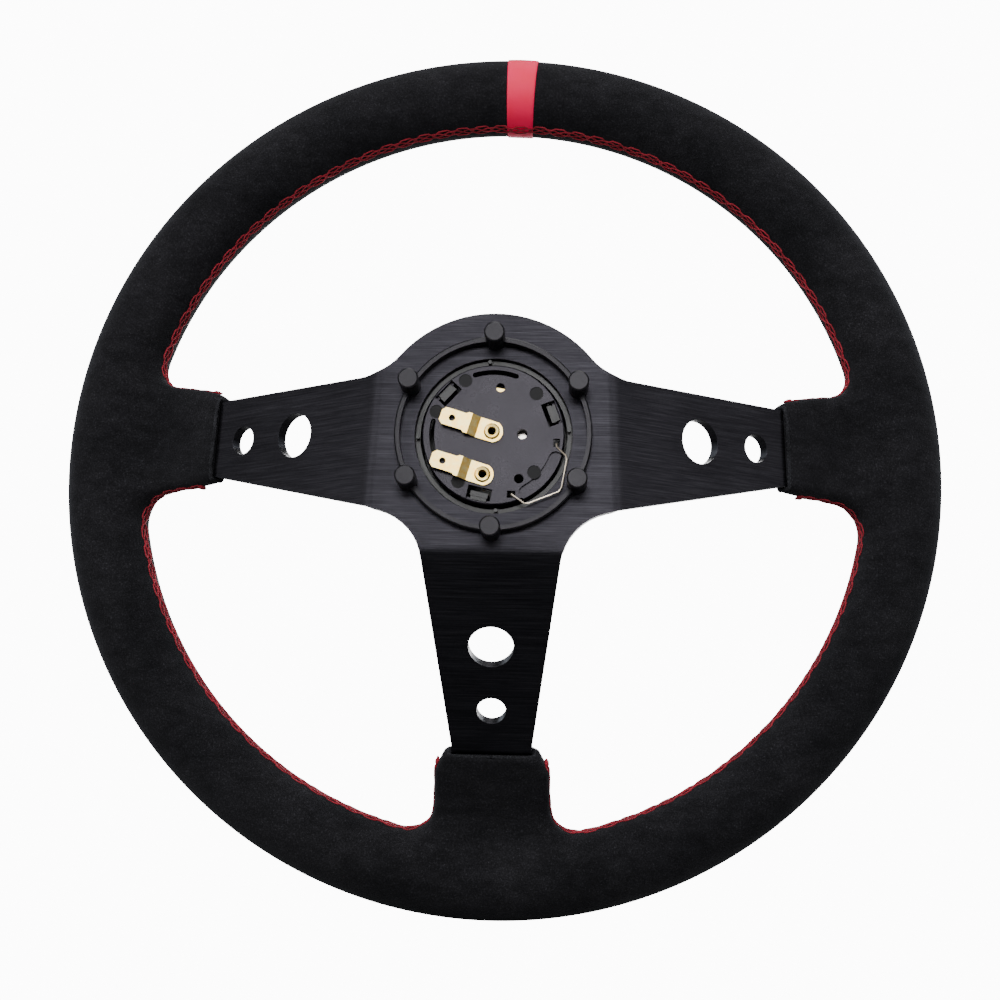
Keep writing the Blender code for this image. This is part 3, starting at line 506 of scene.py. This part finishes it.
STRIPE_PROUD = 0.45
STRIPE_CROWN = 0.06
STRIPE_AROUND = 96
# The stripe's turned edge: shares of its half width, and millimetres proud of the grip
STRIPE_EDGE = [(-1.0, -0.5), (-1.0, 0.1), (-0.985, 0.3), (-0.93, 0.42), (-0.8, STRIPE_PROUD)]


def build_stripe():
    """The centre stripe: a leather band a little proud of the suede, its edges turned under."""
    middle = math.radians(STRIPE_ANGLE)
    half = math.radians(STRIPE_HALF)
    profile = list(STRIPE_EDGE)
    profile += [(k / 4 * 0.8, STRIPE_PROUD + STRIPE_CROWN * (1 - (k / 4) ** 2)) for k in range(-3, 4)]
    profile += [(-a, b) for a, b in reversed(STRIPE_EDGE)]
    points = []
    for share, proud in profile:
        swing = middle + share * half
        for k in range(STRIPE_AROUND):
            turn = TAU * k / STRIPE_AROUND
            radius = RIM_CENTRE + (GRIP_HALF_WIDTH + proud) * math.cos(turn)
            height = RIM_DROP + (GRIP_HALF_DEPTH + proud) * math.sin(turn)
            points.append((radius * math.cos(swing), radius * math.sin(swing), height))
    faces = []
    for row in range(len(profile) - 1):
        for k in range(STRIPE_AROUND):
            a = row * STRIPE_AROUND + k
            b = row * STRIPE_AROUND + (k + 1) % STRIPE_AROUND
            faces.append((a, b, b + STRIPE_AROUND, a + STRIPE_AROUND))
    mesh = mesh_from("centre_stripe_leather", to_world(points), faces)
    add_piece("centre_stripe_leather", mesh, LEATHER, ["centre_stripe"])


# The seam leaves the spokes' plane and joins the grip's side between these distances from the axis
SEAM_TURNS = [138, 144]
SEAM_STRIDE = 0.6
SEAM_PROBE = 0.02
SEAM_STEPS = 900


def seam_height(points):
    """Depth of the stitched seam at a point's distance from the wheel's axis."""
    radius = np.hypot(points[..., 0], points[..., 1])
    along_spokes = -(radius - BEND_AT) * math.tan(SLOPE) - PLATE / 2 / math.cos(SLOPE)
    on_rim = RIM_DROP + GRIP_HALF_DEPTH * math.sin(math.radians(SEAM_DIRECTION))
    return np.interp(radius, SEAM_TURNS, [0, 1]) * (on_rim - along_spokes) + along_spokes


def trace_seam(start_angle, ends):
    """Follows the edge of a hand gap at the seam's depth, both ways from a point on the rim."""

    def flat(place):
        point = np.array([place[0], place[1], 0.0])
        point[2] = seam_height(point)
        return suede_depth(point[None])[0]

    def correct(place):
        for _ in range(3):
            d = SEAM_PROBE
            gx = (flat(place + [d, 0]) - flat(place - [d, 0])) / (2 * d)
            gy = (flat(place + [0, d]) - flat(place - [0, d])) / (2 * d)
            length = max(gx * gx + gy * gy, LEAST_SLOPE)
            place = place - flat(place) * np.array([gx, gy]) / length
        return place, np.array([gx, gy]) / math.sqrt(max(gx * gx + gy * gy, 1e-9))

    runs = []
    for way in (1, -1):
        angle = math.radians(start_angle)
        place = np.array([math.cos(angle), math.sin(angle)]) * (RIM_CENTRE - GRIP_HALF_WIDTH)
        run = []
        for _ in range(SEAM_STEPS):
            place, normal = correct(place)
            run.append(place)
            if np.hypot(*place) < ends:
                break
            place = place + np.array([-normal[1], normal[0]]) * way * SEAM_STRIDE
        runs.append(run)
    flat_run = np.array(runs[1][::-1] + runs[0][1:])
    points = np.column_stack([flat_run, np.zeros(len(flat_run))])
    points[:, 2] = seam_height(points)
    return settle(suede_depth, points, 2)


def even_run(points, spacing):
    """A line's points at nearly even spacing, and the distance of each along it."""
    steps = np.concatenate([[0], np.cumsum(np.linalg.norm(np.diff(points, axis=0), axis=1))])
    count = int(steps[-1] / spacing)
    wanted = np.linspace(0, steps[-1], count + 1)
    return np.column_stack([np.interp(wanted, steps, points[:, k]) for k in range(3)]), wanted


def thread_curve(name, runs, radius):
    """A mesh of round threads that follow the runs."""
    curve = bpy.data.curves.new(name, "CURVE")
    curve.dimensions = "3D"
    curve.bevel_depth = radius * MM
    curve.bevel_resolution = 2
    curve.use_fill_caps = True
    for run in runs:
        spline = curve.splines.new("POLY")
        spline.points.add(len(run) - 1)
        for point, place in zip(spline.points, to_world(run)):
            point.co = (*place, 1)
    item = bpy.data.objects.new(name, curve)
    bpy.context.scene.collection.objects.link(item)
    graph = bpy.context.evaluated_depsgraph_get()
    mesh = bpy.data.meshes.new_from_object(item.evaluated_get(graph))
    bpy.data.objects.remove(item)
    mesh.name = name
    for face in mesh.polygons:
        face.use_smooth = True
    return mesh


STITCH = 16.0
STITCH_HALF = 2.1
THREAD_RADIUS = 0.3
THREAD_LIFT = 0.10
THREAD_WEAVE = 0.14
WAVE_FLATNESS = 1.3
OVER_STRIPE = 0.5
STRIPE_STEP = 0.3
KNOT_RADIUS = 0.38
KNOT_TURNS = 2.5
SEAM_SPACING = 0.5
# Each seam's name, an angle on it in degrees, and the distance from the axis where it ends
SEAMS = (("top", 88.0, 115.0), ("lower_left", 222.0, 117.0), ("lower_right", 318.0, 117.0))
# Each thread's phase, and its share of the stitches' half width
THREADS = ((0, 1.0), (math.pi, 1.0), (math.pi / 2, 0.5), (-math.pi / 2, 0.5))


def seam_axes(centre):
    """Unit vectors at each point of a seam: along it, across it, and out of the suede."""
    normal = gradient(suede_depth, centre)
    normal /= np.linalg.norm(normal, axis=1, keepdims=True)
    tangent = np.gradient(centre, axis=0)
    tangent /= np.linalg.norm(tangent, axis=1, keepdims=True)
    return tangent, np.cross(tangent, normal), normal


def stitch_run(centre, place, axes, phase, half):
    """One thread, which waves across the seam, over and under the others, and over the stripe."""
    _, sideways, normal = axes
    turn = place / STITCH * TAU + phase
    level = np.clip(np.sin(turn) * WAVE_FLATNESS, -1, 1) * STITCH_HALF * half
    lift = THREAD_LIFT + THREAD_WEAVE * np.cos(turn) * (1 if phase <= 0 else -1)
    run = settle(suede_depth, centre + sideways * level[:, None], 3)
    swing = np.abs(np.degrees(np.arctan2(run[:, 1], run[:, 0])) - STRIPE_ANGLE)
    over_stripe = np.interp(swing, [STRIPE_HALF, STRIPE_HALF + STRIPE_STEP], [OVER_STRIPE, 0])
    return run + normal * (lift + over_stripe)[:, None]


def knot_run(centre, axes, end):
    """A loose coil of thread at one end of a seam."""
    tangent, sideways, normal = [axis[end] for axis in axes]
    middle = centre[end] + normal * 0.5
    turn = np.linspace(0, TAU * KNOT_TURNS, 40)
    spread = 0.8 + 0.3 * np.sin(turn * 0.7)
    coil = middle + sideways * (np.cos(turn) * spread * 1.6)[:, None]
    coil = coil + tangent * (np.sin(turn) * spread)[:, None]
    return coil + normal * (0.3 * np.sin(turn * 1.7))[:, None]


def build_stitches():
    """Four threads that cross along each seam, and a knot at each of its ends."""
    for name, start, ends in SEAMS:
        centre, place = even_run(trace_seam(start, ends), SEAM_SPACING)
        axes = seam_axes(centre)
        runs = [stitch_run(centre, place, axes, phase, half) for phase, half in THREADS]
        mesh = thread_curve(f"{name}_stitching", runs, THREAD_RADIUS)
        add_piece(f"{name}_stitching", mesh, THREAD)
        knots = [knot_run(centre, axes, end) for end in (0, -1)]
        mesh = thread_curve(f"{name}_stitch_knots", knots, KNOT_RADIUS)
        add_piece(f"{name}_stitch_knots", mesh, THREAD)


HEM_AROUND = 96
HEM_RING = 14
HEM_HALF_HEIGHT = 3.4
HEM_INSET = 0.5
HEM_THICK = 0.75
HEM_LONG = 0.9


def squared(value):
    """A sine or cosine pushed towards one, which makes a circle a rounded rectangle."""
    return math.copysign(abs(value) ** 0.35, value)


def build_hems():
    """The folded edge of the suede where each spoke leaves it, in a lighter suede that paints the sheen
    along the fold.
    """
    for name, direction in SPOKES.items():
        origin, along, across, rear = slope_axes(direction)
        clockwise, anticlockwise = [side[0] - HEM_INSET for side in SLEEVE_SIDES[name]]
        points = []
        for k in range(HEM_AROUND):
            turn = TAU * k / HEM_AROUND
            half_width = anticlockwise if math.cos(turn) > 0 else clockwise
            x = squared(math.cos(turn)) * half_width
            y = squared(math.sin(turn)) * HEM_HALF_HEIGHT
            lip = 0.12 * math.sin(turn * 5 + 1) + 0.1 * math.sin(turn * 11)
            for j in range(HEM_RING):
                swing = TAU * j / HEM_RING
                out = HEM_THICK * math.sin(swing)
                forward = HEM_LONG * math.cos(swing)
                stretch = 1 + out / half_width
                thicker = math.copysign(min(abs(y) / HEM_HALF_HEIGHT, 1) * out, y)
                place = (
                    origin
                    + along * (SLEEVE_STARTS[name] + HEM_LONG + forward + lip)
                    + across * x * stretch
                    + rear * (y + thicker - PLATE / 2)
                )
                points.append(place)
        faces = []
        for k in range(HEM_AROUND):
            for j in range(HEM_RING):
                a = k * HEM_RING + j
                b = k * HEM_RING + (j + 1) % HEM_RING
                c = (k + 1) % HEM_AROUND * HEM_RING
                faces.append((a, b, c + (j + 1) % HEM_RING, c + j))
        mesh = mesh_from(f"{name}_sleeve_hem", to_world(points), faces)
        # The hem's lighter suede is painted sheen, not a different leather.
        add_piece(f"{name}_sleeve_hem", mesh, SHEEN_PAINTED_SUEDE)


MARK_PLACES = ((-10.5, 19.7), (15.2, 15.3), (-20.7, 8.1), (14.9, -13.5), (-12.2, -17.4))
MARK_RADIUS = 2.45
MARK_DEPTH = 0.22
MARK_THICK = 0.02
MARK_SIDES = 28


def build_ejector_marks():
    """Matt discs in the shallow marks that the mould's ejector pins left on the base."""
    low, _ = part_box("horn_base")
    level = -low.y / MM - MARK_DEPTH
    points = []
    faces = []
    for x, y in MARK_PLACES:
        first = len(points)
        for height in (level, level - MARK_THICK):
            for k in range(MARK_SIDES):
                turn = TAU * k / MARK_SIDES
                across = x + MARK_RADIUS * math.cos(turn)
                up = y + MARK_RADIUS * math.sin(turn)
                points.append((across, up, height))
        second = first + MARK_SIDES
        faces.append(range(first, second))
        faces.append(range(second + MARK_SIDES - 1, second - 1, -1))
        for k in range(MARK_SIDES):
            after = (k + 1) % MARK_SIDES
            faces.append((first + k, first + after, second + after, second + k))
    mesh = mesh_from("ejector_marks", to_world(points), faces, smooth=False)
    add_piece("ejector_marks", mesh, MATT_PLASTIC)


WELD_WITHIN = 1e-6
BROKEN_EDGE = 0.25 * MM
SHARP_EDGE = math.radians(60)
CREASE = math.radians(32)


def finish_cad_nodes():
    """Gives every CAD node that still shows its finish, and shades its curved faces smooth."""
    finishes = {
        "suede_black": SUEDE,
        "leather_red": LEATHER,
        "foam_grey": FOAM,
        "aluminium_black": BRUSHED,
        "aluminium_raw": RAW,
        "plastic_black": BLACK_PLASTIC,
        "plastic_grey": GREY_PLASTIC,
        "steel_black": BLACK_STEEL,
        "steel_bright": SPRING_STEEL,
        "brass": BRASS,
    }
    special = {"bolt_cap_ring": RUBBER, "retaining_wire": WIRE_STEEL}
    slots = {entry["node"]: entry["material_slot"] for entry in frame["record"]["subparts"]}
    for name, item in frame["nodes"].items():
        finish = special.get(name, finishes[slots[name]])
        item.data.materials.clear()
        item.data.materials.append(finish)
        for face in item.data.polygons:
            face.use_smooth = True
        if "custom_normal" in item.data.attributes:
            item.data.attributes.remove(item.data.attributes["custom_normal"])
        weld = item.modifiers.new("weld", "WELD")
        weld.merge_threshold = WELD_WITHIN
        if name == "spoke_frame":
            bevel = item.modifiers.new("broken_edge", "BEVEL")
            bevel.width = BROKEN_EDGE
            bevel.segments = 1
            bevel.limit_method = "ANGLE"
            bevel.angle_limit = SHARP_EDGE
        split = item.modifiers.new("crease", "EDGE_SPLIT")
        split.split_angle = CREASE


build_suede()
build_stripe()
build_stitches()
build_hems()
build_ejector_marks()
finish_cad_nodes()


# ---------------------------------------------------------------- stage


HUB_CENTRE = (0, 0.03, 0)
SKY_BLUE = (0.85, 0.92, 1.0)


def area_light(name, place, size, power, colour=(1, 1, 1)):
    """A rectangular lamp that faces the hub."""
    data = bpy.data.lights.new(name, "AREA")
    data.shape = "RECTANGLE"
    data.size, data.size_y = size
    data.energy = power
    data.color = colour
    item = bpy.data.objects.new(name, data)
    item.location = place
    item.rotation_mode = "QUATERNION"
    item.rotation_quaternion = (Vector(HUB_CENTRE) - Vector(place)).to_track_quat("-Z", "Y")
    bpy.context.scene.collection.objects.link(item)


# The strength of floor and sky as the camera sees them, and the size of the floor, in metres
WHITE = 12.0
FLOOR_RADIUS = 12
FLOOR_GAP = 0.001


def seen_directly(tree, lit, seen, output):
    """Shows the camera one shader and the object's reflections and light another."""
    path = tree.nodes.new("ShaderNodeLightPath")
    choice = tree.nodes.new("ShaderNodeMixShader")
    tree.links.new(path.outputs["Is Camera Ray"], choice.inputs[0])
    tree.links.new(lit, choice.inputs[1])
    tree.links.new(seen, choice.inputs[2])
    tree.links.new(choice.outputs["Shader"], output.inputs["Surface"])


def build_floor():
    """A round pale floor just under the wheel, plain white to the camera."""
    low, _ = CAD_BOX
    shape = bmesh.new()
    bmesh.ops.create_circle(shape, cap_ends=True, segments=96, radius=FLOOR_RADIUS)
    mesh = bpy.data.meshes.new("floor")
    shape.to_mesh(mesh)
    shape.free()
    floor = bpy.data.objects.new("floor", mesh)
    floor.location = (0, 0, low.z - FLOOR_GAP)
    bpy.context.scene.collection.objects.link(floor)
    material, tree, shader = new_material("pale_floor")
    shader.inputs["Base Color"].default_value = (0.22, 0.22, 0.22, 1)
    shader.inputs["Roughness"].default_value = 0.9
    shader.inputs["Specular IOR Level"].default_value = 0.0
    glow = tree.nodes.new("ShaderNodeEmission")
    glow.inputs["Strength"].default_value = WHITE
    seen_directly(tree, shader.outputs["BSDF"], glow.outputs["Emission"], tree.nodes["Material Output"])
    mesh.materials.append(material)


def build_world():
    """A faint even sky for the light, plain white to the camera."""
    world = bpy.data.worlds.new("studio")
    bpy.context.scene.world = world
    world.use_nodes = True
    tree = world.node_tree
    lit = tree.nodes["Background"]
    lit.inputs["Color"].default_value = (0.9, 0.93, 1.0, 1)
    lit.inputs["Strength"].default_value = 0.12
    seen = tree.nodes.new("ShaderNodeBackground")
    seen.inputs["Color"].default_value = (1, 1, 1, 1)
    seen.inputs["Strength"].default_value = WHITE
    seen_directly(tree, lit.outputs["Background"], seen.outputs["Background"], tree.nodes["World Output"])


def build_lights():
    """Soft lamps: on the column side, on both flanks, overhead and behind on the driver's side."""
    area_light("key", (-0.5, -1.5, 1.3), (1.0, 0.8), 26)
    area_light("hub_panel", (0.02, -1.35, 0.28), (0.5, 0.3), 4.5)
    area_light("left_panel", (-0.85, -1.1, 0.3), (0.6, 0.5), 3.2)
    area_light("right_panel", (0.85, -1.1, 0.3), (0.6, 0.5), 3.2)
    area_light("left_side", (-1.5, -0.5, 0.3), (0.6, 0.5), 1.6)
    area_light("right_side", (1.5, -0.5, 0.3), (0.6, 0.5), 1.6)
    area_light("top", (0.1, 0.0, 1.5), (1.6, 1.0), 10)
    area_light("back_left", (-1.3, 1.1, 0.7), (0.8, 1.2), 8, SKY_BLUE)
    area_light("back_right", (1.3, 1.1, 0.7), (0.8, 1.2), 8, SKY_BLUE)
    area_light("driver_side", (0.2, 1.5, 0.6), (1.2, 0.8), 26)
    area_light("driver_low", (0.3, 1.5, -0.1), (1.2, 0.4), 10)


def build_camera():
    """The photo's view, fitted to the hub's screws and the rim's outline: its axes, place and lens."""
    data = bpy.data.cameras.new("camera")
    data.lens = 63.95
    data.sensor_width = 36
    camera = bpy.data.objects.new("camera", data)
    right = Vector((0.99898, 0.03819, 0.02421))
    up = Vector((-0.01728, -0.17239, 0.98488))
    back = Vector((0.04178, -0.98429, -0.17156))
    turn = Matrix((right, up, back)).transposed()
    camera.matrix_world = Matrix.Translation((0.02945, -0.62537, -0.1325)) @ turn.to_4x4()
    bpy.context.scene.collection.objects.link(camera)
    bpy.context.scene.camera = camera


build_floor()
build_world()
build_lights()
build_camera()
